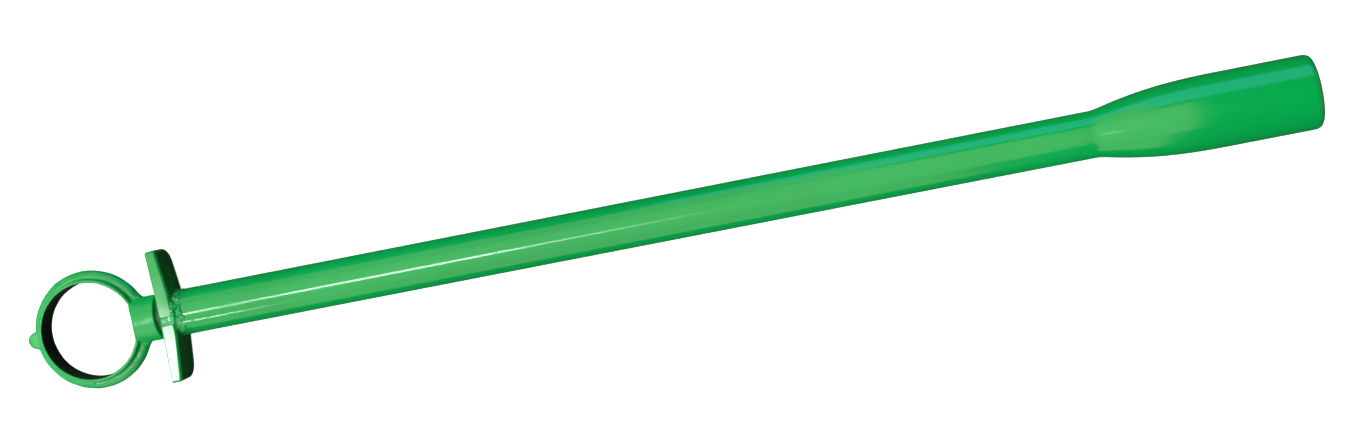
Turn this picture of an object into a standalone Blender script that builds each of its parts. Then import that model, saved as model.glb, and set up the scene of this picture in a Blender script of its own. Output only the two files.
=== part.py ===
"""Post driver: a cast ring and a cross bar welded to a straight tube with a bell socket.

Metres. +X runs along the tube from the ring to the bell, +Z is up and lies along the ring's
hole, +Y completes the frame. The driver lies flat: the origin is the middle of its footprint,
level with the underside of the bell. Stations along the tube are counted from the ring's centre.
"""
import math

import bmesh
import bpy

GAP = 0.0003                    # clearance between pieces that touch

# Tube
TUBE_R = 0.0212                 # 42.4 mm pipe
TUBE_BORE_R = 0.0162

# Ring casting
HOLE_R = 0.0448
LIP_WALL = 0.0032               # wall of the thin band beyond the bead
BAND_HALF_WIDTH = 0.0130
BEAD_R = 0.0056                 # section of the round bead about the band
BEAD_CENTRE_R = 0.0501
NUB_R = 0.0081
NUB_CENTRE_R = 0.0545
NUB_HALF_HEIGHT = 0.0052
NECK_R = 0.0212                 # as wide as the tube
SHOULDER_R = 0.0012             # rounding of the neck's end
NECK_GROOVE = 0.0050            # open groove between the neck's end and the bar
ROOT_WELD_RISE = 0.0024         # height of the weld at the bottom of that groove
SPIGOT_R = TUBE_BORE_R - GAP
SPIGOT_REACH = 0.0220           # how far the spigot enters the tube
EDGE_CHAMFER = 0.0010

# Cross bar, made of two wings
BAR_STATION = 0.0718            # ring side of the bar
BAR_THICKNESS = 0.0136
BAR_TOP_DEPTH = 0.0215          # from the axis up to the flat edge
BAR_UNDER_DEPTH = 0.0177        # and down to the other edge
BAR_HALF_LENGTH = 0.0617
BAR_LAND = 0.0200               # half length of the middle stretch of full thickness
RING_SIDE_LEAN = 0.027          # slope of the wings' ring side beyond the land
TUBE_SIDE_LEAN = 0.100          # slope of their tube side
TOP_CORNER_R = 0.0025           # corners of the wings' tips
UNDER_CORNER_R = 0.0140
BAR_EDGE_R = 0.0013
SEAM_WIDTH = 0.0086             # gap between the wings, below the axis, that is welded up

# Bell
FLARE_STATION = 0.9360          # where the bell leaves the tube's outline
FLARE_LENGTH = 0.1160
FLARE_EASE = 2.3                # how fast the flare opens at its start; 1 is a plain cone
BELL_END_STATION = 1.1320
BELL_R = 0.0335
BELL_WALL = 0.0052
RIM_ROUND = 0.0042
BELL_NECK = 0.0040              # plain stretch between the weld and the flare
BUTT_WELD_WIDTH = 0.0040
BUTT_WELD_CROWN = 0.0005
PLATE_THICKNESS = 0.0120

# Fillet welds
TUBE_WELD_LEG = 0.0048          # along the tube
BAR_WELD_LEG = 0.0026           # up the bar's face
WELD_STANDS_PROUD = 0.0005      # off the tube, where the bead is dressed down above and below
PLATE_WELD_LEG = 0.0040         # the plate's edge is bevelled by this much for its weld
PLATE_WELD_RISE = 0.0015        # up the bell's wall

# Where the frame's origin falls
NUB_REACH = NUB_CENTRE_R + NUB_R
RING_X = (NUB_REACH - BELL_END_STATION) / 2
AXIS_Z = BELL_R
BAR_TUBE_SIDE = BAR_STATION + BAR_THICKNESS
TUBE_START = BAR_TUBE_SIDE + GAP
BELL_START = FLARE_STATION - BELL_NECK
TUBE_END = BELL_START - BUTT_WELD_WIDTH - 2 * GAP
FLARE_END = FLARE_STATION + FLARE_LENGTH
BELL_BORE_R = BELL_R - BELL_WALL

SMOOTH_ANGLE = math.radians(40)
ROUND_STEPS = 48
MERGE = 0.00001

PAINT = (0.02, 0.42, 0.08, 1.0)
BARE_STEEL = (0.30, 0.29, 0.28, 1.0)


# ---------------------------------------------------------------- helpers

def clear_scene():
    for item in list(bpy.data.objects):
        bpy.data.objects.remove(item, do_unlink=True)


def new_collection(name):
    collection = bpy.data.collections.new(name)
    bpy.context.scene.collection.children.link(collection)
    return collection


def new_material(name, colour, roughness, metallic):
    material = bpy.data.materials.new(name)
    material.use_nodes = True
    shader = material.node_tree.nodes["Principled BSDF"]
    shader.inputs["Base Color"].default_value = colour
    shader.inputs["Roughness"].default_value = roughness
    shader.inputs["Metallic"].default_value = metallic
    material.diffuse_color = colour
    return material


def paint(name):
    return new_material(name, PAINT, 0.22, 0.0)


def steel(name):
    return new_material(name, BARE_STEEL, 0.45, 1.0)


def place(mesh, name, collection, material=None):
    body = bpy.data.objects.new(name, mesh)
    collection.objects.link(body)
    if material is None:
        body.hide_render = True
        body.display_type = "WIRE"
    else:
        mesh.materials.append(material)
    return body


def turned(name, profile, collection, material=None, closed=False, along_tube=True):
    """Turns (radius, height) points about local Z; they run down the outer side."""
    mesh = bpy.data.meshes.new(name)
    count = len(profile)
    edges = [(i, i + 1) for i in range(count - 1)]
    if closed:
        edges.append((count - 1, 0))
    mesh.from_pydata([(radius, 0.0, height) for radius, height in profile], edges, [])
    body = place(mesh, name, collection, material)
    screw = body.modifiers.new("turn", "SCREW")
    screw.axis = "Z"
    screw.angle = 2 * math.pi
    screw.steps = ROUND_STEPS
    screw.render_steps = ROUND_STEPS
    screw.use_merge_vertices = True
    screw.merge_threshold = MERGE
    screw.use_smooth_shade = True
    body.location = (RING_X, 0.0, AXIS_Z)
    if along_tube:
        body.rotation_euler = (0.0, math.pi / 2, 0.0)
    return body


def joined(body, other, operation):
    boolean = body.modifiers.new(other.name, "BOOLEAN")
    boolean.operation = operation
    boolean.solver = "EXACT"
    boolean.object = other


def arc(centre_r, centre_h, radius, start, end, count):
    """Points on an arc in (radius, height), angles in degrees from +radius."""
    points = []
    for i in range(count):
        angle = math.radians(start + (end - start) * i / (count - 1))
        points.append((centre_r + radius * math.cos(angle), centre_h + radius * math.sin(angle)))
    return points


# ---------------------------------------------------------------- ring casting

def ring_profile():
    """Thin band with a round bead about its middle; its raw bore is cut to size later."""
    lip_r = HOLE_R + LIP_WALL
    raw_bore_r = HOLE_R - 0.002
    meet = math.degrees(math.acos((lip_r - BEAD_CENTRE_R) / BEAD_R))
    return [
        (lip_r, BAND_HALF_WIDTH),
        *arc(BEAD_CENTRE_R, 0.0, BEAD_R, meet, -meet, 11),
        (lip_r, -BAND_HALF_WIDTH),
        (raw_bore_r, -BAND_HALF_WIDTH),
        (raw_bore_r, BAND_HALF_WIDTH),
    ]


def neck_profile():
    """Round neck that stops short of the bar, and the spigot that goes on through it."""
    spigot_end = TUBE_START + SPIGOT_REACH
    neck_end = BAR_STATION - NECK_GROOVE
    return [
        (0.0, spigot_end),
        (SPIGOT_R - EDGE_CHAMFER, spigot_end),
        (SPIGOT_R, spigot_end - EDGE_CHAMFER),
        (SPIGOT_R, neck_end),
        *arc(NECK_R - SHOULDER_R, neck_end - SHOULDER_R, SHOULDER_R, 90, 0, 4),
        (NECK_R, HOLE_R - 0.006),
        (0.0, HOLE_R - 0.006),
    ]


def make_ring_casting(parts, cutters):
    casting = turned("ring_casting", ring_profile(), parts, paint("ring_paint"),
                     closed=True, along_tube=False)
    neck = turned("neck_blank", neck_profile(), cutters)
    nub_profile = [
        (0.0, NUB_HALF_HEIGHT),
        (NUB_R - EDGE_CHAMFER, NUB_HALF_HEIGHT),
        (NUB_R, NUB_HALF_HEIGHT - EDGE_CHAMFER),
        (NUB_R, EDGE_CHAMFER - NUB_HALF_HEIGHT),
        (NUB_R - EDGE_CHAMFER, -NUB_HALF_HEIGHT),
        (0.0, -NUB_HALF_HEIGHT),
    ]
    nub = turned("nub_blank", nub_profile, cutters, along_tube=False)
    nub.location.x = RING_X - NUB_CENTRE_R
    nub.modifiers["turn"].steps = ROUND_STEPS // 2
    nub.modifiers["turn"].render_steps = ROUND_STEPS // 2
    reach = NECK_R * 1.5
    hole = turned("hole_cutter", [(0.0, reach), (HOLE_R, reach), (HOLE_R, -reach), (0.0, -reach)],
                  cutters, along_tube=False)
    joined(casting, neck, "UNION")
    joined(casting, nub, "UNION")
    joined(casting, hole, "DIFFERENCE")


# ---------------------------------------------------------------- cross bar

def make_wing(name, root_y, side, parts, spigot_hole):
    """One half of the bar: full thickness at the middle, thinner towards its rounded tip."""
    tip_y = side * BAR_HALF_LENGTH
    beyond_land = BAR_HALF_LENGTH - BAR_LAND
    near_x = RING_X + BAR_STATION
    far_x = RING_X + BAR_TUBE_SIDE

    shape = bmesh.new()
    bmesh.ops.create_cube(shape, size=1.0)
    for vert in shape.verts:
        vert.co.x = near_x if vert.co.x < 0 else far_x
        vert.co.y = tip_y if vert.co.y * side > 0 else root_y
        vert.co.z = AXIS_Z + (BAR_TOP_DEPTH if vert.co.z > 0 else -BAR_UNDER_DEPTH)
    bmesh.ops.bisect_plane(shape, geom=shape.verts[:] + shape.edges[:] + shape.faces[:],
                           plane_co=(0.0, side * BAR_LAND, 0.0), plane_no=(0.0, 1.0, 0.0))
    for vert in shape.verts:
        if vert.co.y == tip_y:
            lean = RING_SIDE_LEAN if vert.co.x < near_x + BAR_THICKNESS / 2 else TUBE_SIDE_LEAN
            vert.co.x -= lean * beyond_land
    for top, radius, segments in ((True, TOP_CORNER_R, 3), (False, UNDER_CORNER_R, 7)):
        corner = [edge for edge in shape.edges
                  if all(vert.co.y == tip_y and (vert.co.z > AXIS_Z) == top for vert in edge.verts)
                  and edge.verts[0].co.z == edge.verts[1].co.z]
        bmesh.ops.bevel(shape, geom=corner, offset=radius, segments=segments, profile=0.5,
                        affect="EDGES")
    mesh = bpy.data.meshes.new(name)
    shape.to_mesh(mesh)
    shape.free()

    wing = place(mesh, name, parts, paint(name + "_paint"))
    rounding = wing.modifiers.new("edges", "BEVEL")
    rounding.width = BAR_EDGE_R
    rounding.segments = 2
    rounding.limit_method = "ANGLE"
    rounding.angle_limit = SMOOTH_ANGLE
    joined(wing, spigot_hole, "DIFFERENCE")


def make_cross_bar(parts, cutters):
    top = BAR_TUBE_SIDE + 0.01
    bottom = BAR_STATION - 0.01
    hole = turned("spigot_hole_cutter",
                  [(0.0, top), (TUBE_BORE_R, top), (TUBE_BORE_R, bottom), (0.0, bottom)], cutters)
    make_wing("wing_upper", 0.0, 1, parts, hole)
    make_wing("wing_lower", -SEAM_WIDTH, -1, parts, hole)


def make_seam_welds(parts):
    """Welds that fill the gap between the wings, on the top and the under edge of the bar."""
    inner = SPIGOT_R + 2 * GAP
    for name, side, depth in (("seam_weld_front", 1, BAR_TOP_DEPTH),
                              ("seam_weld_back", -1, BAR_UNDER_DEPTH)):
        outer = depth - 0.0002
        shape = bmesh.new()
        bmesh.ops.create_cube(shape, size=1.0)
        for vert in shape.verts:
            vert.co.x = RING_X + BAR_STATION + BAR_THICKNESS / 2 + vert.co.x * BAR_THICKNESS * 0.96
            vert.co.y = -SEAM_WIDTH / 2 + vert.co.y * (SEAM_WIDTH - 2 * GAP)
            vert.co.z = AXIS_Z + side * (inner if vert.co.z * side < 0 else outer)
        mesh = bpy.data.meshes.new(name)
        shape.to_mesh(mesh)
        shape.free()
        weld = place(mesh, name, parts, paint(name + "_paint"))
        rounding = weld.modifiers.new("edges", "BEVEL")
        rounding.width = 0.0004
        rounding.segments = 2


# ---------------------------------------------------------------- welds about the tube

def make_neck_weld(parts):
    """Root weld at the bottom of the groove between the neck's end and the bar."""
    high = BAR_STATION - GAP
    low = BAR_STATION - NECK_GROOVE + GAP
    inner_r = SPIGOT_R + GAP
    outer_r = inner_r + ROOT_WELD_RISE
    dip_r = inner_r + ROOT_WELD_RISE * 0.65
    profile = [
        (inner_r, high),
        (outer_r, high),
        (dip_r, (low + high) / 2),
        (outer_r, low),
        (inner_r, low),
    ]
    turned("neck_weld", profile, parts, paint("neck_weld_paint"), closed=True)


def make_tube_weld(parts, cutters):
    """Fillet weld that wraps the tube's end and runs up the bar's face.

    It is dressed down above and below, where the bar is hardly deeper than the tube, so
    that the driver doesn't lie on the weld.
    """
    face = TUBE_START
    inner_r = TUBE_R + GAP
    top = face + TUBE_WELD_LEG
    crown_r = inner_r + BAR_WELD_LEG * 0.62
    profile = [
        (inner_r, top),
        (inner_r + 0.0004, top),
        (crown_r, face + TUBE_WELD_LEG * 0.62),
        (inner_r + BAR_WELD_LEG, face + 0.0006),
        (inner_r + BAR_WELD_LEG, face),
        (inner_r, face),
    ]
    weld = turned("tube_weld", profile, parts, paint("tube_weld_paint"), closed=True)

    depth = 2 * (inner_r + WELD_STANDS_PROUD)
    shape = bmesh.new()
    bmesh.ops.create_cube(shape, size=1.0)
    bmesh.ops.scale(shape, vec=(4 * TUBE_WELD_LEG, 4 * TUBE_R, depth), verts=shape.verts)
    bmesh.ops.translate(shape, vec=(RING_X + face, 0.0, AXIS_Z), verts=shape.verts)
    mesh = bpy.data.meshes.new("weld_depth_cutter")
    shape.to_mesh(mesh)
    shape.free()
    joined(weld, place(mesh, "weld_depth_cutter", cutters), "INTERSECT")


# ---------------------------------------------------------------- tube and bell

def make_main_tube(parts):
    chamfer = 0.0006
    profile = [
        (TUBE_R - chamfer, TUBE_END),
        (TUBE_R, TUBE_END - chamfer),
        (TUBE_R, TUBE_START + chamfer),
        (TUBE_R - chamfer, TUBE_START),
        (TUBE_BORE_R, TUBE_START),
        (TUBE_BORE_R, TUBE_END),
    ]
    turned("main_tube", profile, parts, paint("tube_paint"), closed=True)


def flare(share, small_r, large_r):
    """Radius along the flare: it opens quickly and then eases into the bell's full size."""
    return small_r + (large_r - small_r) * (1 - (1 - share) ** FLARE_EASE)


def make_bell_weld(parts):
    start = TUBE_END + GAP
    end = start + BUTT_WELD_WIDTH
    profile = [
        (TUBE_R, end),
        (TUBE_R + BUTT_WELD_CROWN, end - BUTT_WELD_WIDTH / 3),
        (TUBE_R + BUTT_WELD_CROWN, start + BUTT_WELD_WIDTH / 3),
        (TUBE_R, start),
        (TUBE_BORE_R, start),
        (TUBE_BORE_R, end),
    ]
    turned("bell_weld", profile, parts, paint("bell_weld_paint"), closed=True)


def make_bell_socket(parts):
    rows = 12
    shares = [i / rows for i in range(rows + 1)]
    rim = arc(BELL_R - RIM_ROUND, BELL_END_STATION - RIM_ROUND, RIM_ROUND, 90, 0, 5)
    outside = [(flare(share, TUBE_R, BELL_R), FLARE_STATION + share * FLARE_LENGTH)
               for share in reversed(shares)]
    inside = [(flare(share, TUBE_BORE_R, BELL_BORE_R), FLARE_STATION + share * FLARE_LENGTH)
              for share in shares]
    lead_in = 0.0008
    profile = [
        *rim,
        *outside,
        (TUBE_R, BELL_START),
        (TUBE_BORE_R, BELL_START),
        *inside,
        (BELL_BORE_R, BELL_END_STATION - lead_in),
        (BELL_BORE_R + lead_in, BELL_END_STATION),
    ]
    turned("bell_socket", profile, parts, paint("bell_paint"), closed=True)


def make_striking_plate(parts):
    """Plate at the end of the flare, inside the bell, and the weld in its bevelled edge."""
    back = FLARE_END
    face = back + PLATE_THICKNESS
    plate_r = BELL_BORE_R - GAP
    profile = [
        (0.0, face),
        (plate_r - PLATE_WELD_LEG, face),
        (plate_r, face - PLATE_WELD_LEG),
        (plate_r, back + EDGE_CHAMFER),
        (plate_r - EDGE_CHAMFER, back),
        (0.0, back),
    ]
    turned("striking_plate", profile, parts, steel("plate_steel"))
    leg = PLATE_WELD_LEG - GAP * math.sqrt(2)
    profile = [
        (plate_r, face + PLATE_WELD_RISE),
        (plate_r, face - leg),
        (plate_r - leg, face),
        (plate_r - leg * 0.4, face + PLATE_WELD_RISE * 0.2),
    ]
    turned("plate_weld", profile, parts, steel("plate_weld_steel"), closed=True)


def main():
    clear_scene()
    parts = new_collection("post_driver")
    cutters = new_collection("cutters")
    make_ring_casting(parts, cutters)
    make_cross_bar(parts, cutters)
    make_seam_welds(parts)
    make_neck_weld(parts)
    make_tube_weld(parts, cutters)
    make_main_tube(parts)
    make_bell_weld(parts)
    make_bell_socket(parts)
    make_striking_plate(parts)


main()
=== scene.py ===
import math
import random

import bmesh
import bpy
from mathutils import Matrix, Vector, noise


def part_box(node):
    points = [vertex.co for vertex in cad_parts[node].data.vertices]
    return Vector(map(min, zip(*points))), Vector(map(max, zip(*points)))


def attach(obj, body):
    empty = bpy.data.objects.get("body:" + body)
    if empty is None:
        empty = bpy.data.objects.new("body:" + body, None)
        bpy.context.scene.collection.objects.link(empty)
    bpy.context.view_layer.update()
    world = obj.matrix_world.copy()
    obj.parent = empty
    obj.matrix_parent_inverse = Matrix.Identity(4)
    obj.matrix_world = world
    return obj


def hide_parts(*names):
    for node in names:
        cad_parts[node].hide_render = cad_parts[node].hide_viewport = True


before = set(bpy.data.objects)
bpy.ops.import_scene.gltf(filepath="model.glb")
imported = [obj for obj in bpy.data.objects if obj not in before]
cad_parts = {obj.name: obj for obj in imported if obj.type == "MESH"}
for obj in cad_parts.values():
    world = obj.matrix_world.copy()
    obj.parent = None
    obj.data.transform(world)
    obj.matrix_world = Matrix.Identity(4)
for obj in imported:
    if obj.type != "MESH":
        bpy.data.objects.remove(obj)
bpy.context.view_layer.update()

# The looks of a post driver: a cast ring and a cross bar welded to a steel tube, and a bell
# socket at the far end. Everything is painted glossy green except the struck plate and its weld
# inside the bell.
#
# Metres. +X runs along the tube from the ring to the bell, +Z is up and lies along the ring's hole.

# ---------------------------------------------------------------- sizes taken from the frame

TUBE_LOW, TUBE_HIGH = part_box("main_tube")
CAST_LOW, CAST_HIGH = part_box("ring_casting")
WING_LOW, WING_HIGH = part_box("wing_upper")
BELL_LOW, BELL_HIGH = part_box("bell_socket")
PLATE_LOW, PLATE_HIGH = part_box("striking_plate")

# ---------------------------------------------------------------- tube

AXIS_Z = (TUBE_LOW.z + TUBE_HIGH.z) / 2
TUBE_R = (TUBE_HIGH.z - TUBE_LOW.z) / 2
TUBE_START = TUBE_LOW.x
TUBE_END = TUBE_HIGH.x
TUBE_BORE_R = 0.0162
TUBE_CHAMFER = 0.0006           # at the cross bar's end only
TUBE_ROWS = 60

# ---------------------------------------------------------------- ring casting

NUB_R = 0.0081
NUB_CENTRE_R = 0.0545
NUB_HALF_HEIGHT = 0.0052
NUB_EDGE_R = 0.0014
RING_X = CAST_LOW.x + NUB_CENTRE_R + NUB_R
HOLE_R = 0.0448
LIP_WALL = 0.0032
LIP_EDGE = 0.0010               # chamfer of the band's four rims
BAND_HALF_WIDTH = 0.0130
BEAD_R = 0.0056
BEAD_CENTRE_R = 0.0501
NECK_R = 0.0212
NECK_ROOT = HOLE_R - 0.010      # the neck starts inside the hole, which then cuts it
SHOULDER_R = 0.0012
NECK_GROOVE = 0.0050            # open groove between the neck's end and the bar
NECK_FILLET = 0.0090            # sweep of the bead into the side of the neck
SPIGOT_END = CAST_HIGH.x
SPIGOT_R = TUBE_BORE_R - 0.0003
SPIGOT_CHAMFER = 0.0010
CAST_VOXEL = 0.0006
CAST_SOFTENING = 2              # smoothing passes over the whole skin
SWEEP_SOFTENING = 14            # and where the bead runs into the neck
SWEEP_START = HOLE_R * 0.9      # the stretch and width of the neck that the beads run into
SWEEP_STOP = BEAD_CENTRE_R + BEAD_R + 0.006
SWEEP_HALF_WIDTH = NECK_R + 0.010
GATE_MARKS = ((118.0, 0.0052, 0.0011), (262.0, 0.0040, 0.0008))   # degrees, size, rise

# ---------------------------------------------------------------- cross bar

BAR_RING_SIDE = WING_LOW.x
BAR_TUBE_SIDE = WING_HIGH.x
BAR_HALF_LENGTH = WING_HIGH.y
BAR_TOP_Z = WING_HIGH.z
BAR_UNDER_Z = WING_LOW.z
BAR_LAND = 0.0200               # half length of the bar's middle, which has parallel sides
RING_SIDE_LEAN = 0.027          # slopes of the two broad faces towards the tips
TUBE_SIDE_LEAN = 0.100
TOP_CORNER_R = 0.0025
UNDER_CORNER_R = 0.0140
RING_EDGE_R = 0.0012            # rounding of the bar's edges on the ring's side
TUBE_EDGE_R = 0.0034            # and on the tube's side
SPIGOT_CUT_SPARE = 0.010        # the spigot's hole is cut with a tool that stands out this far
SEAM_WIDTH = 0.0086
SEAM_GAP = 0.00012
SEAM_EDGE_R = 0.0007
SEAM_SWELL = 0.00055

# ---------------------------------------------------------------- bell and struck plate

BELL_START = BELL_LOW.x
BELL_END = BELL_HIGH.x
BELL_R = (BELL_HIGH.z - BELL_LOW.z) / 2
BELL_WALL = 0.0052
BELL_BORE_R = BELL_R - BELL_WALL
BELL_NECK = 0.0040
FLARE_START = BELL_START + BELL_NECK
FLARE_LENGTH = 0.1160
FLARE_END = FLARE_START + FLARE_LENGTH
FLARE_EASE = 2.5                # how soon the flare opens; 1 is a plain cone
FLARE_SWEEP = 0.05              # share of the flare over which it curves away from the tube
FLARE_ROWS = 48
RIM_ROUND = 0.0042
RIM_ROUND_LENGTH = 0.0064
MOUTH_LEAD_IN = 0.0008

PLATE_BACK = PLATE_LOW.x
PLATE_FACE = PLATE_HIGH.x
PLATE_R = (PLATE_HIGH.z - PLATE_LOW.z) / 2
PLATE_BEVEL = 0.0040
PLATE_BACK_CHAMFER = 0.0010
PLATE_RINGS = 24
PLATE_HOLLOW = 0.0005           # how deep the blows have dished the plate
DENT_DEPTH = 0.0003

# ---------------------------------------------------------------- welds

HEAP_ANGLE = math.radians(70)   # where the tube's bead is heaped, seen from the bell end
TUBE_WELD_LEG = 0.0060
TUBE_WELD_THROAT = 0.0020       # height of the tube's bead at the bar
TUBE_WELD_ROWS = 14
THIN_LUMP = 0.00014             # roughness of that bead where it was dressed
HEAP_LUMP = 0.0019              # and where it is heaped
SPATTER_BALLS = 40
ROOT_WELD_ROWS = 10
ROOT_WELD_LUMP = 0.0004
BUTT_GAP = 0.00003
BUTT_CROWN = 0.00001            # height left on the dressed butt weld
BUTT_ROWS = 16
PLATE_WELD_LUMP = 0.0004
WELD_STEPS = 200

ROUND_STEPS = 160
SMOOTH_ANGLE = math.radians(35)
CAST_SMOOTH_ANGLE = math.radians(60)
MERGE_DISTANCE = 0.000002
SNUG = 0.00005                  # clearance that keeps a lumpy bead off its neighbour
TUBE_AXIS = Vector((1.0, 0.0, 0.0))
HOLE_AXIS = Vector((0.0, 0.0, 1.0))
RING_CENTRE = Vector((RING_X, 0.0, AXIS_Z))


# ---------------------------------------------------------------- shader helper

class Value:
    """A socket of a finish. Arithmetic on it adds Math nodes."""

    def __init__(self, finish, socket):
        self.finish = finish
        self.socket = socket

    def maths(self, operation, first, second=None):
        inputs = {0: first}
        if second is not None:
            inputs[1] = second
        return self.finish.node("ShaderNodeMath", {"operation": operation}, inputs)

    def __add__(self, other):
        return self.maths("ADD", self, other)

    __radd__ = __add__

    def __sub__(self, other):
        return self.maths("SUBTRACT", self, other)

    def __rsub__(self, other):
        return self.maths("SUBTRACT", other, self)

    def __mul__(self, other):
        return self.maths("MULTIPLY", self, other)

    __rmul__ = __mul__

    def __pow__(self, power):
        return self.maths("POWER", self, power)

    def root(self):
        return self.maths("SQRT", self)

    def at_most(self, limit):
        return self.maths("MINIMUM", self, limit)


class Finish:
    """A material being made: its nodes, its coordinates and its shader."""

    def __init__(self, name):
        self.material = bpy.data.materials.new(name)
        self.material.use_nodes = True
        self.tree = self.material.node_tree
        self.tree.nodes.clear()
        self.place = self.node("ShaderNodeTexCoord", output="Object")

    def node(self, kind, settings=None, inputs=None, output=0):
        made = self.tree.nodes.new(kind)
        for name, setting in (settings or {}).items():
            setattr(made, name, setting)
        for name, given in (inputs or {}).items():
            if isinstance(given, Value):
                self.tree.links.new(given.socket, made.inputs[name])
            else:
                made.inputs[name].default_value = given
        return Value(self, made.outputs[output])

    def along(self, axis):
        """Distance in metres along X, Y or Z."""
        return self.node("ShaderNodeSeparateXYZ", inputs={0: self.place}, output="XYZ".index(axis))

    def off_tube_axis(self):
        height = self.along("Z") - AXIS_Z
        return (self.along("Y") ** 2.0 + height ** 2.0).root()

    def grain(self, scale, detail=2.0, stretch=(1.0, 1.0, 1.0), shift=(0.0, 0.0, 0.0)):
        """Soft noise from 0 to 1; scale is in cells a metre."""
        place = self.node("ShaderNodeMapping", {"vector_type": "POINT"},
                          {"Vector": self.place, "Scale": stretch, "Location": shift})
        return self.node("ShaderNodeTexNoise", {"noise_dimensions": "3D"},
                         {"Vector": place, "Scale": scale, "Detail": detail, "Roughness": 0.55})

    def spots(self, scale):
        """Distance to the nearest of many scattered points, in cells."""
        return self.node("ShaderNodeTexVoronoi", {"feature": "F1"},
                         {"Vector": self.place, "Scale": scale}, output="Distance")

    def step(self, value, low, high):
        """0 below low, 1 above high, and a smooth rise between them."""
        return self.node("ShaderNodeMapRange", {"interpolation_type": "SMOOTHSTEP"},
                         {"Value": value, "From Min": low, "From Max": high})

    def blend(self, share, first, second):
        return self.node("ShaderNodeMix", {"data_type": "RGBA"},
                         {"Factor": share, 6: first, 7: second}, output=2)

    def shade(self, colour, roughness, metallic, relief, depth):
        """The finished material; relief is a height from 0 to 1 and depth its size in metres."""
        bump = self.node("ShaderNodeBump", {},
                         {"Height": relief, "Strength": 1.0, "Distance": depth})
        return self.surface({"Base Color": colour, "Roughness": roughness, "Metallic": metallic,
                             "Normal": bump})

    def surface(self, inputs):
        shader = self.node("ShaderNodeBsdfPrincipled", {}, inputs)
        out = self.tree.nodes.new("ShaderNodeOutputMaterial")
        self.tree.links.new(shader.socket, out.inputs["Surface"])
        return self.material


# ---------------------------------------------------------------- finishes

PAINT_GREEN = (0.0016, 0.540, 0.1050, 1.0)
PAINT_DEEP = (0.0012, 0.500, 0.0920, 1.0)
PAINT_PALE = (0.0050, 0.580, 0.1250, 1.0)
PAINTED_SHADE_DARK = (0.0120, 0.0300, 0.0070, 1.0)   # painted shade: near-black green standing in for shade in the neck's groove and the ring's hole
# painted shade: dark green for the shaded bottom of the neck's groove
PAINTED_SHADE_GREEN = (0.0010, 0.1700, 0.0500, 1.0)
# a paler green for the weld bead, partly real tone and partly a painted highlight
WELD_PALE_AND_HIGHLIGHT = (0.0300, 0.6200, 0.2000, 1.0)
BARE_GREY = (0.235, 0.225, 0.215, 1.0)
DARK_SCALE = (0.055, 0.050, 0.047, 1.0)
RUST_BROWN = (0.120, 0.052, 0.024, 1.0)
FLOOR_DIM = (0.93, 0.93, 0.93, 1.0)
FLOOR_PALE = (0.95, 0.95, 0.95, 1.0)
FLOOR_GLOW = (1.0, 1.0, 1.0, 1.0)


def tube_paint():
    """Gloss enamel on drawn tube: fine lengthwise draw lines and a little orange peel."""
    paint = Finish("gloss_green_on_tube")
    cloud = paint.grain(9.0, detail=3.0)
    lines = paint.grain(420.0, stretch=(0.012, 1.0, 1.0))
    peel = paint.grain(520.0, detail=1.0)
    colour = paint.blend(paint.step(cloud, 0.35, 0.7), PAINT_DEEP, PAINT_GREEN)
    colour = paint.blend(paint.step(lines, 0.45, 0.8) * 0.35, colour, PAINT_PALE)
    specks = 1 - paint.step(paint.spots(260.0), 0.03, 0.07)
    roughness = 0.11 + cloud * 0.05 + specks * 0.10
    return paint.shade(colour, roughness, 0.0, relief=lines * 0.45 + peel * 0.55, depth=0.000015)


def bar_paint():
    """Gloss enamel on forged flat bar: thicker paint with broad unevenness."""
    paint = Finish("gloss_green_on_bar")
    cloud = paint.grain(40.0, detail=3.0)
    peel = paint.grain(450.0)
    wave = paint.grain(70.0, detail=1.0, shift=(3.1, 0.4, 1.7))
    colour = paint.blend(paint.step(cloud, 0.3, 0.72), PAINT_DEEP, PAINT_GREEN)
    roughness = 0.08 + cloud * 0.05
    return paint.shade(colour, roughness, 0.0, relief=wave * 0.8 + peel * 0.2, depth=0.00004)


def cast_paint():
    """Enamel over a sand-cast skin, a little duller than on the tube, with painted shade on the
    wall of the hole.
    """
    paint = Finish("green_on_casting")
    cloud = paint.grain(55.0, detail=3.0)
    sand = paint.grain(900.0, detail=3.0)
    pits = paint.step(paint.spots(420.0), 0.10, 0.28)
    colour = paint.blend(paint.step(cloud, 0.3, 0.7), PAINT_DEEP, PAINT_GREEN)
    colour = paint.blend(paint.step(sand, 0.5, 0.85) * 0.3, colour, PAINT_PALE)
    # painted shade: the wall of the ring's hole gets a near-black green where the hole lies in
    # shade
    off_ring_centre = paint.along("X") - RING_X
    hole_reach = (paint.along("Y") ** 2.0 + off_ring_centre ** 2.0).root() + (cloud - 0.5) * 0.0008
    bore = 1 - paint.step(hole_reach, HOLE_R + 0.0003, HOLE_R + 0.0008)
    colour = paint.blend(bore * 0.93, colour, PAINTED_SHADE_DARK)
    roughness = 0.26 + cloud * 0.10 + (1 - pits) * 0.08
    return paint.shade(colour, roughness, 0.0, relief=sand * 0.55 + pits * 0.45, depth=0.00007)


def groove_shade_paint():
    """Painted shade for the bottom of the groove between the neck and the bar: near-black and dark
    green mottled by noise.
    """
    paint = Finish("painted_shade_in_groove")
    cloud = paint.grain(260.0, detail=3.0)
    # painted shade, mottled between near-black and dark green
    colour = paint.blend(paint.step(cloud, 0.25, 0.60), PAINTED_SHADE_DARK, PAINTED_SHADE_GREEN)
    return paint.shade(colour, 0.35 + cloud * 0.2, 0.0, relief=cloud, depth=0.0001)


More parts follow.
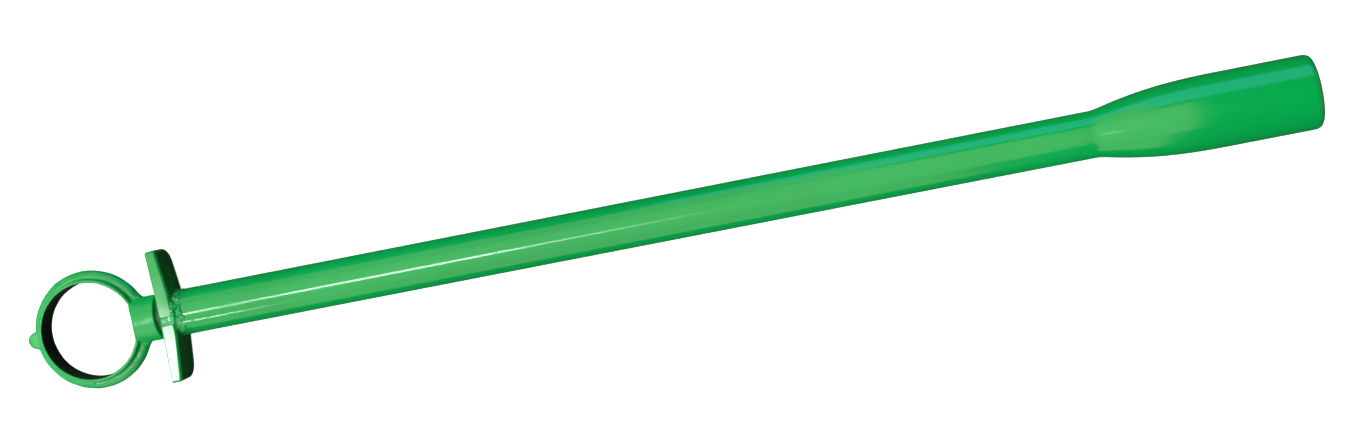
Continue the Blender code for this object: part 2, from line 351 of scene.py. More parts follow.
def weld_paint():
    """Glossy enamel over a weld bead, mottled by noise with a paler green that is partly real tone
    and partly a painted highlight.
    """
    paint = Finish("green_on_weld")
    cloud = paint.grain(160.0, detail=3.0)
    grit = paint.grain(1400.0)
    # paler green mottling, partly a painted highlight
    colour = paint.blend(paint.step(cloud, 0.35, 0.7), PAINT_DEEP, WELD_PALE_AND_HIGHLIGHT)
    return paint.shade(colour, 0.06 + cloud * 0.08, 0.0, relief=grit, depth=0.00005)


def bell_paint():
    """Gloss enamel on the bell. It thins out to bare, scaled steel down the bore."""
    paint = Finish("gloss_green_on_bell")
    cloud = paint.grain(9.0, detail=3.0)
    lines = paint.grain(420.0, stretch=(0.02, 1.0, 1.0), shift=(0.0, 0.7, 0.2))
    peel = paint.grain(520.0, detail=1.0)
    along = paint.along("X")
    past_flare = paint.step(along, FLARE_END - 0.002, FLARE_END)
    outside = paint.step(paint.off_tube_axis(), BELL_BORE_R + 0.0002, BELL_BORE_R + 0.0006)
    ragged = along + (paint.grain(120.0, detail=3.0) - 0.5) * 0.020
    painted_mouth = paint.step(ragged, BELL_END - 0.030, BELL_END - 0.012)
    bare = past_flare * (1 - outside) * (1 - painted_mouth)
    rust = paint.step(paint.grain(210.0, detail=4.0, shift=(0.3, 0.1, 0.9)), 0.48, 0.66)
    steel = paint.blend(rust, DARK_SCALE, RUST_BROWN)
    colour = paint.blend(paint.step(cloud, 0.35, 0.7), PAINT_DEEP, PAINT_GREEN)
    colour = paint.blend(paint.step(lines, 0.5, 0.85) * 0.3, colour, PAINT_PALE)
    colour = paint.blend(bare, colour, steel)
    roughness = (0.12 + cloud * 0.06 + bare * 0.40).at_most(1.0)
    metallic = bare * (1 - rust) * 0.6
    return paint.shade(colour, roughness, metallic, relief=lines * 0.35 + peel * 0.65,
                       depth=0.00004)


def struck_steel():
    """Bare steel that posts have hammered: bright, dented middle and rusty, scaled edge."""
    steel = Finish("struck_steel")
    patch = steel.grain(150.0, detail=4.0)
    rust = steel.step(steel.off_tube_axis() * 28.0 + patch, 0.95, 1.25)
    dents = steel.step(steel.spots(230.0), 0.0, 0.5)
    scratch = steel.grain(900.0, stretch=(1.0, 0.06, 1.0))
    colour = steel.blend(rust, BARE_GREY, RUST_BROWN)
    colour = steel.blend(steel.step(patch, 0.55, 0.75) * 0.6, colour, DARK_SCALE)
    roughness = 0.38 + rust * 0.35 + scratch * 0.15
    return steel.shade(colour, roughness, 1 - rust * 0.85, relief=dents * 0.7 + scratch * 0.3,
                       depth=0.00025)


# ---------------------------------------------------------------- mesh helpers

def arc(centre, radius, start, end, count):
    """Points on an arc about centre, angles in degrees from the first axis."""
    points = []
    for i in range(count):
        angle = math.radians(start + (end - start) * i / (count - 1))
        points.append((centre[0] + radius * math.cos(angle),
                       centre[1] + radius * math.sin(angle)))
    return points


def spin_profile(shape, points, axis, closed=True, steps=ROUND_STEPS):
    """Spins (radius, station) points: stations count along the axis from the ring's centre."""
    across = HOLE_AXIS if axis == TUBE_AXIS else TUBE_AXIS
    verts = [shape.verts.new(RING_CENTRE + across * radius + axis * station)
             for radius, station in points]
    edges = [shape.edges.new(pair) for pair in zip(verts, verts[1:])]
    if closed:
        edges.append(shape.edges.new((verts[-1], verts[0])))
    bmesh.ops.spin(shape, geom=verts + edges, cent=RING_CENTRE, axis=axis,
                   angle=2 * math.pi, steps=steps, use_merge=True)


def turned(profile, closed=True, steps=ROUND_STEPS):
    """A clean shape turned about the tube's axis."""
    shape = bmesh.new()
    spin_profile(shape, profile, TUBE_AXIS, closed, steps)
    clean(shape)
    return shape


def clean(shape):
    bmesh.ops.remove_doubles(shape, verts=shape.verts, dist=MERGE_DISTANCE)
    bmesh.ops.recalc_face_normals(shape, faces=shape.faces)


def bevel(shape, edges, width, segments):
    bmesh.ops.bevel(shape, geom=edges, offset=width, segments=segments, profile=0.5,
                    affect="EDGES", material=-1)


def soften(shape, verts, passes):
    for _ in range(passes):
        bmesh.ops.smooth_vert(shape, verts=verts, factor=0.5, use_axis_x=True,
                              use_axis_y=True, use_axis_z=True)


def edges_of(verts):
    return list({edge for vert in verts for edge in vert.link_edges})


def as_object(shape, name):
    mesh = bpy.data.meshes.new(name)
    shape.to_mesh(mesh)
    shape.free()
    piece = bpy.data.objects.new(name, mesh)
    bpy.context.scene.collection.objects.link(piece)
    return piece


def add_cut(piece, name, cutter):
    cut = piece.modifiers.new(name, "BOOLEAN")
    cut.operation = "DIFFERENCE"
    cut.object = cutter


def add_skin(piece, name):
    skin = piece.modifiers.new(name, "REMESH")
    skin.mode = "VOXEL"
    skin.voxel_size = CAST_VOXEL


def apply_modifiers(piece, cutter):
    """Bakes the piece's modifiers into its mesh and removes their cutter."""
    bpy.context.view_layer.update()
    evaluated = piece.evaluated_get(bpy.context.evaluated_depsgraph_get())
    baked = bpy.data.meshes.new_from_object(evaluated)
    old = piece.data
    piece.modifiers.clear()
    piece.data = baked
    bpy.data.meshes.remove(old)
    bpy.data.objects.remove(cutter, do_unlink=True)


def finish_piece(piece, material, nodes, sharp=SMOOTH_ANGLE):
    """Paints and shades a piece, hangs it under the root body and hides the CAD nodes it stands
    for.
    """
    piece.data.materials.clear()
    piece.data.materials.append(material)
    piece.data.shade_smooth()
    piece.data.set_sharp_from_angle(angle=sharp)
    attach(piece, "root")
    if nodes:
        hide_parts(*nodes)


def station(x):
    """Distance along the tube from the ring's centre."""
    return x - RING_X


def angle_about_tube(point):
    return math.atan2(point.z - AXIS_Z, point.y)


def radius_about_tube(point):
    return math.hypot(point.y, point.z - AXIS_Z)


def scale_about_tube(vert, factor):
    vert.co.y *= factor
    vert.co.z = AXIS_Z + (vert.co.z - AXIS_Z) * factor


# ---------------------------------------------------------------- ring casting

def band_profile():
    """Section of the ring's band: a thin lip with a round bead about its middle."""
    lip_r = HOLE_R + LIP_WALL
    meet = math.degrees(math.acos((lip_r - BEAD_CENTRE_R) / BEAD_R))
    return [
        (lip_r - LIP_EDGE, BAND_HALF_WIDTH),
        (lip_r, BAND_HALF_WIDTH - LIP_EDGE),
        *arc((BEAD_CENTRE_R, 0.0), BEAD_R, meet, -meet, 25),
        (lip_r, LIP_EDGE - BAND_HALF_WIDTH),
        (lip_r - LIP_EDGE, -BAND_HALF_WIDTH),
        (HOLE_R + LIP_EDGE, -BAND_HALF_WIDTH),
        (HOLE_R, LIP_EDGE - BAND_HALF_WIDTH),
        (HOLE_R, BAND_HALF_WIDTH - LIP_EDGE),
        (HOLE_R + LIP_EDGE, BAND_HALF_WIDTH),
    ]


def neck_profile():
    """Half section of the round neck and of the spigot that carries the bar and the tube."""
    neck_end = station(BAR_RING_SIDE) - NECK_GROOVE
    return [
        (0.0, station(SPIGOT_END)),
        (SPIGOT_R - SPIGOT_CHAMFER, station(SPIGOT_END)),
        (SPIGOT_R, station(SPIGOT_END) - SPIGOT_CHAMFER),
        (SPIGOT_R, neck_end),
        *arc((NECK_R - SHOULDER_R, neck_end - SHOULDER_R), SHOULDER_R, 90, 0, 7),
        (NECK_R, NECK_ROOT),
        (0.0, NECK_ROOT),
    ]


def add_bead_sweep(shape, side):
    """The bead leaves the ring and runs into the side of the neck along a round sweep."""
    outer_r = BEAD_CENTRE_R + BEAD_R
    across = NECK_R + NECK_FILLET
    along = math.sqrt((outer_r + NECK_FILLET) ** 2 - across ** 2)
    centre = RING_CENTRE + Vector((along, side * across, 0.0))
    inward = (RING_CENTRE - centre).normalized()
    start = centre + inward * (NECK_FILLET + BEAD_R)
    made = bmesh.ops.create_circle(shape, cap_ends=True, segments=24, radius=BEAD_R)
    upright = Matrix.Rotation(math.pi / 2, 4, "X")
    heading = Matrix.Rotation(math.atan2(inward.y, inward.x), 4, "Z")
    bmesh.ops.transform(shape, matrix=Matrix.Translation(start) @ heading @ upright,
                        verts=made["verts"])
    sweep = side * (math.pi / 2 - math.atan2(along, across))
    cap = made["verts"][0].link_faces[:]
    bmesh.ops.spin(shape, geom=made["verts"] + edges_of(made["verts"]) + cap, cent=centre,
                   axis=HOLE_AXIS, angle=sweep, steps=16)


def add_nub(shape):
    """The round nub at the ring's far end, with rounded rims."""
    made = bmesh.ops.create_cone(shape, cap_ends=True, segments=48, radius1=NUB_R, radius2=NUB_R,
                                 depth=2 * NUB_HALF_HEIGHT)
    bmesh.ops.translate(shape, vec=RING_CENTRE - TUBE_AXIS * NUB_CENTRE_R, verts=made["verts"])
    rims = [edge for edge in edges_of(made["verts"])
            if edge.verts[0].co.z == edge.verts[1].co.z]
    bevel(shape, rims, NUB_EDGE_R, 4)


def cast_relief(point):
    """Unevenness of the sand-cast skin at a point, in metres."""
    slow = noise.noise(point * 110.0) * 0.00022
    fast = noise.noise(point * 420.0) * 0.00007
    return slow + fast


def gate_mark(point):
    """Rough stubs where the casting's runners were broken off the bead."""
    height = 0.0
    for degrees, size, rise in GATE_MARKS:
        angle = math.radians(degrees)
        out = Vector((math.cos(angle), math.sin(angle), 0.0)) * (BEAD_CENTRE_R + 0.002)
        centre = RING_CENTRE + out + HOLE_AXIS * BEAD_R * 0.7
        near = max(0.0, 1.0 - ((point - centre).length / size) ** 2)
        height += near * rise * (0.7 + 0.9 * noise.noise(point * 900.0))
    return height


def hole_cutter():
    shape = bmesh.new()
    made = bmesh.ops.create_cone(shape, cap_ends=True, segments=ROUND_STEPS,
                                 radius1=HOLE_R, radius2=HOLE_R, depth=4 * NECK_R)
    bmesh.ops.translate(shape, vec=RING_CENTRE, verts=made["verts"])
    return as_object(shape, "hole_cutter")


def in_bead_sweep(point):
    """Is the point where the bead and the lip run into the side of the neck?"""
    return (SWEEP_START < station(point.x) < SWEEP_STOP
            and radius_about_tube(point) > NECK_R - 0.003
            and abs(point.y) < SWEEP_HALF_WIDTH)


def roughen_casting(piece):
    """Softens the skin, then gives it the unevenness of sand casting and the gate marks."""
    shape = bmesh.new()
    shape.from_mesh(piece.data)
    soften(shape, shape.verts, CAST_SOFTENING)
    soften(shape, [vert for vert in shape.verts if in_bead_sweep(vert.co)], SWEEP_SOFTENING)
    shape.normal_update()
    for vert in shape.verts:
        if vert.co.x < BAR_RING_SIDE:
            vert.co += vert.normal * (cast_relief(vert.co) + gate_mark(vert.co))
        vert.co.x = max(vert.co.x, CAST_LOW.x)
    shape.to_mesh(piece.data)
    shape.free()


def make_cast_ring(material):
    """Ring, nub, neck and spigot under one skin."""
    shape = bmesh.new()
    spin_profile(shape, band_profile(), HOLE_AXIS)
    spin_profile(shape, neck_profile(), TUBE_AXIS, steps=96)
    add_bead_sweep(shape, 1)
    add_bead_sweep(shape, -1)
    add_nub(shape)
    clean(shape)
    piece = as_object(shape, "cast_ring")
    cutter = hole_cutter()
    add_skin(piece, "skin")
    add_cut(piece, "hole", cutter)
    add_skin(piece, "even")
    apply_modifiers(piece, cutter)
    roughen_casting(piece)
    finish_piece(piece, material, ["ring_casting"], CAST_SMOOTH_ANGLE)


# ---------------------------------------------------------------- cross bar

def wing_block(root_y, side):
    """A block from the bar's middle to one tip, thinner towards the tip."""
    tip_y = side * BAR_HALF_LENGTH
    middle_x = (BAR_RING_SIDE + BAR_TUBE_SIDE) / 2
    shape = bmesh.new()
    bmesh.ops.create_cube(shape, size=1.0)
    for vert in shape.verts:
        vert.co.x = BAR_RING_SIDE if vert.co.x < 0 else BAR_TUBE_SIDE
        vert.co.y = tip_y if vert.co.y * side > 0 else root_y
        vert.co.z = BAR_TOP_Z if vert.co.z > 0 else BAR_UNDER_Z
    bmesh.ops.bisect_plane(shape, geom=shape.verts[:] + shape.edges[:] + shape.faces[:],
                           plane_co=(0.0, side * BAR_LAND, 0.0), plane_no=(0.0, 1.0, 0.0))
    for vert in shape.verts:
        if is_near(vert.co.y, tip_y):
            lean = RING_SIDE_LEAN if vert.co.x < middle_x else TUBE_SIDE_LEAN
            vert.co.x -= lean * (BAR_HALF_LENGTH - BAR_LAND)
    return shape


def is_near(first, second):
    return abs(first - second) < 1e-6


def is_corner(edge, tip_y, corner_z):
    return all(is_near(vert.co.y, tip_y) and is_near(vert.co.z, corner_z)
               for vert in edge.verts)


def is_rim(edge, facing, root_y):
    """Edges round the wing's broad face on one side, away from the seam."""
    if len(edge.link_faces) != 2 or all(is_near(vert.co.y, root_y) for vert in edge.verts):
        return False
    broad = [face for face in edge.link_faces if face.normal.x * facing > 0.9]
    return len(broad) == 1


def round_wing(shape, root_y, side):
    """Rounds the two corners of the tip, then the rims of both broad faces."""
    tip_y = side * BAR_HALF_LENGTH
    for corner_z, radius, segments in ((BAR_TOP_Z, TOP_CORNER_R, 6),
                                       (BAR_UNDER_Z, UNDER_CORNER_R, 16)):
        corner = [edge for edge in shape.edges if is_corner(edge, tip_y, corner_z)]
        bevel(shape, corner, radius, segments)
    bmesh.ops.recalc_face_normals(shape, faces=shape.faces)
    shape.normal_update()
    for facing, radius in ((1, TUBE_EDGE_R), (-1, RING_EDGE_R)):
        rim = [edge for edge in shape.edges if is_rim(edge, facing, root_y)]
        bevel(shape, rim, radius, 6)
        shape.normal_update()


def spigot_cutter():
    high = station(BAR_TUBE_SIDE) + SPIGOT_CUT_SPARE
    low = station(BAR_RING_SIDE) - SPIGOT_CUT_SPARE
    profile = [(0.0, high), (TUBE_BORE_R, high), (TUBE_BORE_R, low), (0.0, low)]
    return as_object(turned(profile, closed=False, steps=64), "spigot_cutter")


def make_wing(name, node, root_y, side, material):
    """One half of the bar, with softly rounded edges and a hole for the ring's spigot."""
    shape = wing_block(root_y, side)
    round_wing(shape, root_y, side)
    clean(shape)
    piece = as_object(shape, name)
    cutter = spigot_cutter()
    add_cut(piece, "spigot", cutter)
    apply_modifiers(piece, cutter)
    finish_piece(piece, material, [node])
    flat = piece.modifiers.new("flat_faces_stay_flat", "WEIGHTED_NORMAL")
    flat.keep_sharp = True


def make_seam_weld(name, node, side, material):
    """A block of weld metal between the wings, above or below the spigot, swollen in its middle."""
    inner = AXIS_Z + side * (SPIGOT_R + 0.0006)
    outer = BAR_TOP_Z - 0.0001 if side > 0 else BAR_UNDER_Z + 0.0001
    low = Vector((BAR_RING_SIDE + 0.0003, SEAM_GAP - SEAM_WIDTH, min(inner, outer)))
    high = Vector((BAR_TUBE_SIDE - 0.0003, -SEAM_GAP, max(inner, outer)))
    centre = (low + high) / 2
    size = high - low
    shape = bmesh.new()
    made = bmesh.ops.create_cube(shape, size=1.0)
    bmesh.ops.scale(shape, vec=size, verts=made["verts"])
    bmesh.ops.translate(shape, vec=centre, verts=made["verts"])
    bevel(shape, edges_of(made["verts"]), SEAM_EDGE_R, 3)
    bmesh.ops.subdivide_edges(shape, edges=shape.edges[:], cuts=7, use_grid_fill=True)
    shape.normal_update()
    seed = Vector((3.0 + side, 0.0, 0.0))
    for vert in shape.verts:
        swell = noise.noise(vert.co * 330.0 + seed) * SEAM_SWELL
        middle = max(0.0, 1.0 - abs(vert.co.y - centre.y) / (size.y / 2))
        vert.co += vert.normal * (swell * min(1.0, 0.1 + 2.0 * middle) - 0.0001)
    clean(shape)
    finish_piece(as_object(shape, name), material, [node])


# ---------------------------------------------------------------- welds about the tube

def add_lumps(shape, ripples, lump, seed):
    """Ripples and lumps in a turned bead."""
    shape.normal_update()
    for vert in shape.verts:
        angle = angle_about_tube(vert.co)
        wander = noise.noise(Vector((math.cos(angle) * 2.0, math.sin(angle) * 2.0, seed))) * 2.5
        ripple = abs(math.sin(angle * ripples / 2 + wander)) * lump * 0.5
        swell = noise.noise(vert.co * 190.0 + Vector((seed, 0.0, 0.0))) * lump
        knots = noise.noise(vert.co * 420.0 + Vector((0.0, seed, 0.0))) * lump * 0.7
        vert.co += vert.normal * (ripple + swell + knots)


def tube_weld_profile():
    """Section of the hollow fillet at the foot of the tube."""
    start = station(TUBE_START)
    inner = TUBE_R - 0.0006
    crest = []
    for i in range(TUBE_WELD_ROWS + 1):
        turn = math.radians(90 * i / TUBE_WELD_ROWS)
        crest.append((TUBE_R + 0.0001 + (TUBE_WELD_THROAT - 0.0001) * (1 - math.cos(turn)),
                      start + 0.0002 + TUBE_WELD_LEG * (1 - math.sin(turn))))
    return [
        (inner, start + TUBE_WELD_LEG + 0.0003),
        *crest,
        (TUBE_R + TUBE_WELD_THROAT, start - 0.0003),
        (inner, start - 0.0003),
    ]


def make_tube_weld(material):
    """A hand-laid fillet, heaped where the welder began and thin where the pass ran fast."""
    shape = turned(tube_weld_profile(), steps=400)
    shape.normal_update()
    for vert in shape.verts:
        if radius_about_tube(vert.co) < TUBE_R:
            continue
        angle = angle_about_tube(vert.co)
        heap = (0.5 + 0.5 * math.cos(angle - HEAP_ANGLE)) ** 12
        swell = noise.noise(vert.co * 300.0 + Vector((4.2, 0.0, 0.0))) * 1.5
        ripple = abs(math.sin(angle * 20 + 2.0 * noise.noise(vert.co * 60.0))) * 0.5
        vert.co += vert.normal * (THIN_LUMP + HEAP_LUMP * heap) * (swell + ripple)
        radius = radius_about_tube(vert.co)
        scale_about_tube(vert, max(TUBE_R + SNUG, radius) / radius)
        vert.co.z = max(vert.co.z, AXIS_Z - TUBE_R - 0.0003)
    finish_piece(as_object(shape, "tube_weld_bead"), material, ["tube_weld"])


def make_spatter(material):
    """Small balls of weld metal that stuck to the tube beside the bead."""
    draw = random.Random(11)
    shape = bmesh.new()
    for number in range(SPATTER_BALLS):
        near_heap = number % 4 > 0
        angle = HEAP_ANGLE + draw.gauss(0.30, 0.25) if near_heap else draw.uniform(0, math.tau)
        reach = TUBE_START + 0.0052 + abs(draw.gauss(0.0, 0.0016 if near_heap else 0.006))
        size = draw.uniform(0.00060, 0.00150 if near_heap else 0.00065)
        made = bmesh.ops.create_icosphere(shape, subdivisions=2, radius=size)
        bmesh.ops.scale(shape, vec=(1.0, 1.0, 0.75), verts=made["verts"])
        out = Vector((0.0, math.cos(angle), math.sin(angle)))
        place = Vector((reach, 0.0, AXIS_Z)) + out * (TUBE_R + size * 0.25)
        bmesh.ops.translate(shape, vec=place, verts=made["verts"])
    finish_piece(as_object(shape, "weld_spatter"), material, [])


def make_neck_weld(material):
    """The hollow root weld at the bottom of the groove between the neck and the bar."""
    high = station(BAR_RING_SIDE) - 0.0001
    low = station(BAR_RING_SIDE) - NECK_GROOVE + 0.0002
    inner = SPIGOT_R + 0.0003
    shares = [i / ROOT_WELD_ROWS for i in range(ROOT_WELD_ROWS + 1)]
    crest = [(inner + 0.0007 + 0.0012 * (2 * share - 1) ** 2, high + (low - high) * share)
             for share in shares]
    shape = turned([(inner, high), *crest, (inner, low)], steps=WELD_STEPS)
    add_lumps(shape, ripples=44, lump=ROOT_WELD_LUMP, seed=8.1)
    finish_piece(as_object(shape, "neck_weld_bead"), material, ["neck_weld"])


# ---------------------------------------------------------------- tube and bell

def make_tube(material):
    """Drawn tube, in short rows so that its long faces stay well shaped."""
    length = TUBE_END - TUBE_START - TUBE_CHAMFER
    outside = [(TUBE_R, station(TUBE_END) - length * i / TUBE_ROWS)
               for i in range(TUBE_ROWS + 1)]
    shape = turned([
        *outside,
        (TUBE_R - TUBE_CHAMFER, station(TUBE_START)),
        (TUBE_BORE_R, station(TUBE_START)),
        (TUBE_BORE_R, station(TUBE_END)),
    ])
    finish_piece(as_object(shape, "drawn_tube"), material, ["main_tube"])


def make_butt_weld(material):
    """The weld between tube and bell, dressed down flush."""
    low = station(TUBE_END) + BUTT_GAP
    high = station(BELL_START) - BUTT_GAP
    shares = [i / BUTT_ROWS for i in range(BUTT_ROWS + 1)]
    crest = [(TUBE_R + BUTT_CROWN * math.sin(math.pi * share) ** 2, high - (high - low) * share)
             for share in shares]
    shape = turned([*crest, (TUBE_BORE_R, low), (TUBE_BORE_R, high)], steps=240)
    finish_piece(as_object(shape, "butt_weld"), material, ["bell_weld"])


def flare(share, small_r, large_r):
    """Radius along the flare: a soft start, a quick opening and an easing into full size."""
    eased = share * share * (1 + FLARE_SWEEP) / (share + FLARE_SWEEP)
    return small_r + (large_r - small_r) * (1 - (1 - min(eased, 1.0)) ** FLARE_EASE)


def make_bell(material):
    """The flared socket, with a rounded rim and a small lead-in at its mouth."""
    end = station(BELL_END)
    flare_start = station(FLARE_START)
    shares = [i / FLARE_ROWS for i in range(FLARE_ROWS + 1)]
    rim = [(BELL_R - RIM_ROUND * (1 - rise), end - RIM_ROUND_LENGTH * (1 - reach))
           for rise, reach in arc((0.0, 0.0), 1.0, 90, 0, 15)]
    outside = [(flare(share, TUBE_R, BELL_R), flare_start + share * FLARE_LENGTH)
               for share in reversed(shares)]
    inside = [(flare(share, TUBE_BORE_R, BELL_BORE_R), flare_start + share * FLARE_LENGTH)
              for share in shares]
    shape = turned([
        *rim,
        *outside,
        (TUBE_R, station(BELL_START)),
        (TUBE_BORE_R, station(BELL_START)),
        *inside,
        (BELL_BORE_R, end - MOUTH_LEAD_IN),
        (BELL_BORE_R + MOUTH_LEAD_IN, end),
    ])
    finish_piece(as_object(shape, "bell"), material, ["bell_socket"])


def make_struck_plate(material):
    """The plate that takes the blows, dished and dented in its middle."""
    flat_r = PLATE_R - PLATE_BEVEL
    face = [(flat_r * i / PLATE_RINGS, station(PLATE_FACE)) for i in range(PLATE_RINGS + 1)]
    shape = turned([
        *face,
        (PLATE_R, station(PLATE_FACE) - PLATE_BEVEL),
        (PLATE_R, station(PLATE_BACK) + PLATE_BACK_CHAMFER),
        (PLATE_R - PLATE_BACK_CHAMFER, station(PLATE_BACK)),
        (0.0, station(PLATE_BACK)),
    ], closed=False)
    for vert in shape.verts:
        inward = max(0.0, 1.0 - radius_about_tube(vert.co) / flat_r)
        if vert.co.x > PLATE_FACE - 1e-5 and inward > 0.0:
            dents = noise.noise(vert.co * 170.0) * DENT_DEPTH
            vert.co.x -= min(inward * 6.0, 1.0) * (PLATE_HOLLOW + dents)
    finish_piece(as_object(shape, "struck_plate"), material, ["striking_plate"])


def make_plate_weld(material):
    """The fillet in the corner between the plate's bevel and the bore."""
    face = station(PLATE_FACE)
    leg = PLATE_BEVEL - 0.0006
    shape = turned([
        (PLATE_R, face + 0.0016),
        (PLATE_R, face - leg),
        (PLATE_R - leg, face - 0.0001),
        (PLATE_R - leg * 0.7, face + 0.0004),
        (PLATE_R - leg * 0.35, face + 0.0008),
    ], steps=WELD_STEPS)
    add_lumps(shape, ripples=30, lump=PLATE_WELD_LUMP, seed=2.6)
    for vert in shape.verts:
        radius = radius_about_tube(vert.co)
        if radius > BELL_BORE_R - SNUG:
            scale_about_tube(vert, (BELL_BORE_R - SNUG) / radius)
    finish_piece(as_object(shape, "plate_weld_bead"), material, ["plate_weld"])


# ---------------------------------------------------------------- camera, floor and lights

CAMERA_TARGET = Vector((0.0294, 0.0026, AXIS_Z))
CAMERA_DISTANCE = 1.8118
CAMERA_ELEVATION = math.radians(83.37)
CAMERA_AZIMUTH = math.radians(30.99)
CAMERA_ROLL = math.radians(-11.40)
CAMERA_LENS = 52.7


def make_camera():
    """A camera almost overhead, with the driver a little askew."""
    level = math.cos(CAMERA_ELEVATION)
    back = Vector((level * math.cos(CAMERA_AZIMUTH), level * math.sin(CAMERA_AZIMUTH),
                   math.sin(CAMERA_ELEVATION)))
    up = Vector((0.0, 1.0, 0.0))
    up = (up - back * up.dot(back)).normalized()
    up = Matrix.Rotation(CAMERA_ROLL, 3, back) @ up
    right = up.cross(back)
    turn = Matrix((right, up, back)).transposed().to_4x4()
    camera = bpy.data.objects.new("camera", bpy.data.cameras.new("camera"))
    camera.matrix_world = Matrix.Translation(CAMERA_TARGET + back * CAMERA_DISTANCE) @ turn
    camera.data.lens = CAMERA_LENS
    camera.data.sensor_width = 36.0
    camera.data.clip_end = 100.0
    bpy.context.scene.collection.objects.link(camera)
    bpy.context.scene.camera = camera


def make_floor():
    """A pale floor that touches the undersides of the ring's neck and of the bell."""
    neck_foot = AXIS_Z - NECK_R
    slope = neck_foot / (FLARE_END - RING_X - HOLE_R)
    shape = bmesh.new()
    bmesh.ops.create_grid(shape, x_segments=8, y_segments=8, size=40.0)
    for vert in shape.verts:
        vert.co.z = (FLARE_END - vert.co.x) * slope - 0.0001
    floor = as_object(shape, "pale_floor")
    white = Finish("pale_floor")
    colour = white.blend(white.grain(3.0), FLOOR_DIM, FLOOR_PALE)
    floor.data.materials.append(white.surface({"Base Color": colour, "Roughness": 0.9,
                                               "Emission Color": FLOOR_GLOW,
                                               "Emission Strength": 0.94}))
    floor.visible_diffuse = False
    floor.visible_glossy = False


def make_panel(name, centre, aim, size, radiance, colour):
    """A panel of even brightness that shows only as a reflection in the gloss."""
    light = bpy.data.lights.new(name, "AREA")
    light.shape = "RECTANGLE"
    light.size, light.size_y = size
    light.color = colour
    light.energy = radiance * math.pi * size[0] * size[1]
    panel = bpy.data.objects.new(name, light)
    towards = Vector(aim) - Vector(centre)
    panel.rotation_euler = towards.to_track_quat("-Z", "Y").to_euler()
    panel.location = centre
    panel.visible_camera = False
    panel.visible_diffuse = False
    bpy.context.scene.collection.objects.link(panel)


def make_overhead_panel(name, centre, size, radiance, colour):
    make_panel(name, centre, (centre[0], centre[1], 0.0), size, radiance, colour)


def make_wall_panel(name, centre, aim_x, size, radiance, colour):
    """An upright panel that faces a point over the tube at its own height."""
    make_panel(name, centre, (aim_x, 0.0, centre[2]), size, radiance, colour)


def make_sky_lamp(name, towards, strength):
    """Even, soft daylight from one direction, the same all along the driver."""
    light = bpy.data.lights.new(name, "SUN")
    light.energy = strength
    light.angle = math.radians(50.0)
    lamp = bpy.data.objects.new(name, light)
    lamp.rotation_euler = Vector(towards).to_track_quat("Z", "Y").to_euler()
    lamp.visible_glossy = False
    bpy.context.scene.collection.objects.link(lamp)


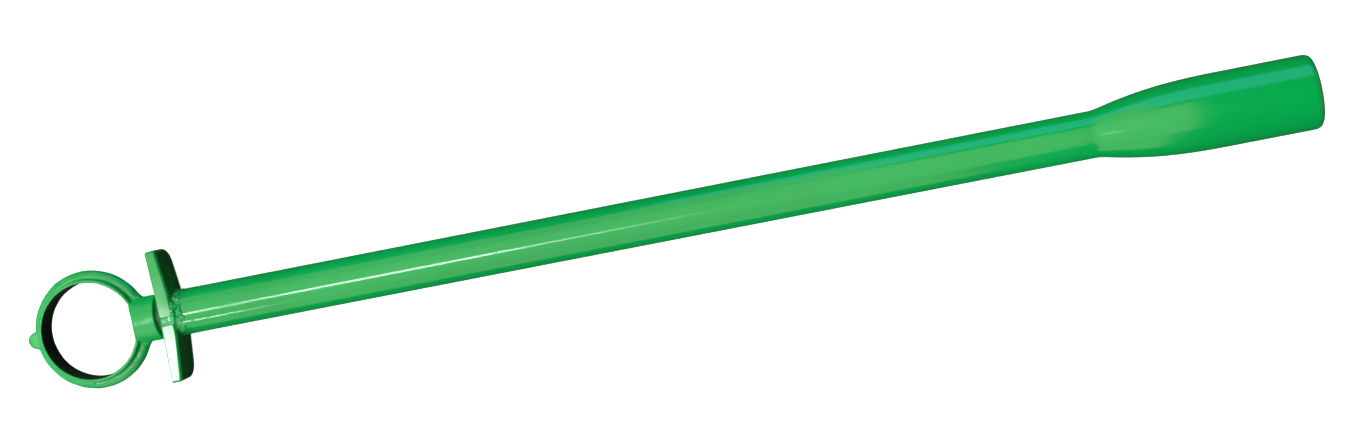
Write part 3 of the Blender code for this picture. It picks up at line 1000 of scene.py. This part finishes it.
def make_lights():
    """Daylight for the colour of the paint, and panels for the reflections in its gloss."""
    warm = (1.0, 0.86, 0.68)
    white = (1.0, 1.0, 1.0)
    cool = (0.88, 1.0, 1.0)
    rose = (1.0, 0.91, 0.97)
    sky = (0.12, 0.43, 1.0)
    make_sky_lamp("daylight", (-0.45, 0.10, 0.88), 1.50)
    make_sky_lamp("daylight_far_side", (-0.35, 0.85, 0.40), 1.35)
    make_sky_lamp("daylight_near_side", (-0.35, -0.85, 0.40), 1.45)
    make_overhead_panel("ceiling", (-0.49, 0.0, 2.40), (2.40, 4.4), 1.60, warm)
    make_wall_panel("near_wall", (-0.64, -2.2, 1.2), -0.64, (2.1, 2.4), 1.25, warm)
    make_wall_panel("far_wall", (-0.75, 2.2, 1.5), -0.75, (1.9, 1.8), 1.0, warm)
    make_wall_panel("left_wall", (-2.4, 0.0, 1.2), -0.5, (4.4, 2.4), 1.3, white)
    make_wall_panel("right_wall", (2.6, 0.0, 0.7), 0.5, (4.4, 1.4), 0.40, warm)
    make_wall_panel("window", (0.95, 2.2, 0.9), 0.95, (2.4, 1.8), 2.6, sky)
    make_overhead_panel("strip_start", (-1.03, -0.19, 1.95), (0.10, 0.10), 4.0, cool)
    make_overhead_panel("strip", (-0.735, -0.19, 1.95), (0.49, 0.14), 44.0, cool)
    make_overhead_panel("strip_end", (-0.36, -0.19, 1.95), (0.26, 0.09), 16.0, cool)
    make_overhead_panel("strip_tail", (-0.19, -0.19, 1.95), (0.08, 0.09), 4.0, cool)
    make_overhead_panel("bar_lamp", (-1.18, -0.25, 1.95), (0.16, 0.24), 34.0, rose)
    make_panel("low_lamp", (-1.36, -2.0, 1.8), (-0.42, 0.0, 0.03), (0.10, 0.08), 130.0, cool)


def make_world():
    """White to the eye, nearly dark in reflections, and a dim fill on the shaded sides."""
    world = bpy.data.worlds.new("studio")
    bpy.context.scene.world = world
    world.use_nodes = True
    tree = world.node_tree
    ray = tree.nodes.new("ShaderNodeLightPath")
    background = tree.nodes["Background"]
    fill = tree.nodes.new("ShaderNodeMath")
    fill.operation = "MULTIPLY_ADD"
    fill.inputs[1].default_value = 0.015
    fill.inputs[2].default_value = 0.02
    tree.links.new(ray.outputs["Is Diffuse Ray"], fill.inputs[0])
    seen = tree.nodes.new("ShaderNodeMath")
    seen.operation = "MULTIPLY_ADD"
    seen.inputs[1].default_value = 1.1
    tree.links.new(ray.outputs["Is Camera Ray"], seen.inputs[0])
    tree.links.new(fill.outputs[0], seen.inputs[2])
    tree.links.new(seen.outputs[0], background.inputs["Strength"])
    background.inputs["Color"].default_value = (1.0, 1.0, 1.0, 1.0)


# ---------------------------------------------------------------- the driver

def make_driver():
    on_tube = tube_paint()
    on_bar = bar_paint()
    on_weld = weld_paint()
    steel = struck_steel()
    make_cast_ring(cast_paint())
    make_wing("upper_wing", "wing_upper", 0.0, 1, on_bar)
    make_wing("lower_wing", "wing_lower", -SEAM_WIDTH, -1, on_bar)
    make_seam_weld("near_seam_weld", "seam_weld_front", 1, on_weld)
    make_seam_weld("far_seam_weld", "seam_weld_back", -1, on_weld)
    make_neck_weld(groove_shade_paint())
    make_tube_weld(on_weld)
    make_spatter(on_weld)
    make_tube(on_tube)
    make_butt_weld(on_tube)
    make_bell(bell_paint())
    make_struck_plate(steel)
    make_plate_weld(steel)


bpy.context.scene.view_settings.view_transform = "Standard"
make_camera()
make_floor()
make_lights()
make_world()
make_driver()
